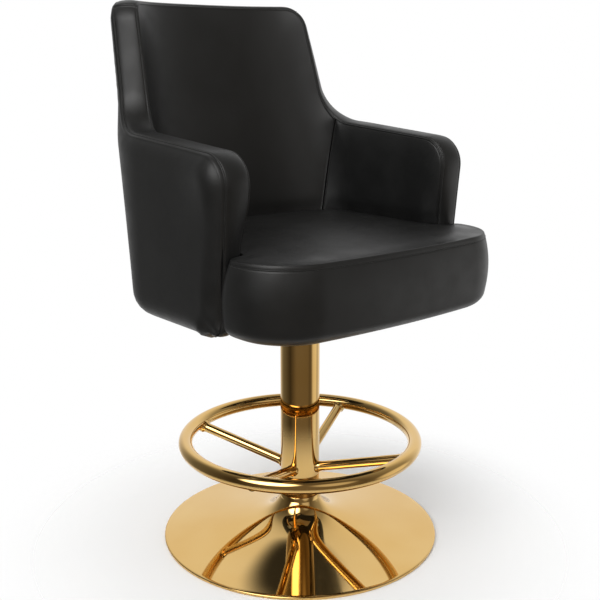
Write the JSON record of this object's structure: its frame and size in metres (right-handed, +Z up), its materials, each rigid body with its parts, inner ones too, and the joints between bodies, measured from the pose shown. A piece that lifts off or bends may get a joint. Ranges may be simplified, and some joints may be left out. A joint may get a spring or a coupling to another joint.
{
  "type": "gaming stool",
  "caption": "Swivelling bucket-seat stool in black faux leather on a mirror-gold trumpet base with a column and a round foot ring.",
  "frame": {"origin": "centre of the base's underside, on the floor", "axes": "+Z up along the column; the seat faces -Y at rest; +X is the sitter's left"},
  "size_m": [0.5762, 0.6303, 1.0241],
  "materials": {
    "polished_gold": "mirror-polished gold plating",
    "cast_iron": "as cast, painted black",
    "zinc_steel": "zinc plated",
    "white_nylon": "moulded",
    "cage_brass": "stamped sheet",
    "floor_rubber": "matt black",
    "plywood": "plain plywood",
    "padding": "cut foam",
    "black_leather": "smooth satin faux leather",
    "dust_lining": "thin black lining"
  },
  "bodies": {
    "stand": {"floor_pad": "floor_rubber", "base_weight": "cast_iron", "base_cover": "polished_gold", "base_bolt": "zinc_steel", "base_washer": "zinc_steel", "column_foot_plug": "zinc_steel", "column_tube": "polished_gold", "foot_ring": "polished_gold", "spoke_1": "polished_gold", "spoke_2": "polished_gold", "spoke_3": "polished_gold", "spoke_4": "polished_gold", "bearing_housing": "zinc_steel", "upper_bush": "white_nylon", "lower_bush": "white_nylon", "lower_race": "zinc_steel"},
    "bearing_cage": {"ball_cage": "cage_brass", "bearing_ball_1": "zinc_steel", "bearing_ball_2": "zinc_steel", "bearing_ball_3": "zinc_steel", "bearing_ball_4": "zinc_steel", "bearing_ball_5": "zinc_steel", "bearing_ball_6": "zinc_steel"},
    "seat": {"upper_race": "zinc_steel", "swivel_spindle": "zinc_steel", "spindle_clip": "zinc_steel", "swivel_plate": "zinc_steel", "plate_bolt_1": "zinc_steel", "plate_bolt_2": "zinc_steel", "plate_bolt_3": "zinc_steel", "plate_bolt_4": "zinc_steel", "tee_nut_1": "zinc_steel", "tee_nut_2": "zinc_steel", "tee_nut_3": "zinc_steel", "tee_nut_4": "zinc_steel", "left_strap": "zinc_steel", "rear_strap": "zinc_steel", "right_strap": "zinc_steel", "strap_screw_1": "zinc_steel", "strap_screw_2": "zinc_steel", "strap_screw_3": "zinc_steel", "strap_screw_4": "zinc_steel", "strap_screw_5": "zinc_steel", "strap_screw_6": "zinc_steel", "seat_board": "plywood", "shell_frame": "plywood", "seat_foam": "padding", "outer_padding": "padding", "back_padding": "padding", "left_arm_padding": "padding", "right_arm_padding": "padding", "edge_padding": "padding", "seat_side_cover": "black_leather", "seat_top_cover": "black_leather", "outer_cover": "black_leather", "back_cover": "black_leather", "left_arm_cover": "black_leather", "right_arm_cover": "black_leather", "edge_band": "black_leather", "dust_cover": "dust_lining"}
  },
  "joints": [
    {"name": "seat_swivel", "type": "hinge", "parent": "stand", "child": "seat", "pos_m": [0, 0, 0], "axis": [0, 0, 1], "continuous": true},
    {"name": "cage_spin", "type": "hinge", "parent": "stand", "child": "bearing_cage", "pos_m": [0, 0, 0], "axis": [0, 0, 1], "continuous": true}
  ],
  "couplings": [
    {"joint": "cage_spin", "follows": "seat_swivel", "ratio": 0.5}
  ]
}
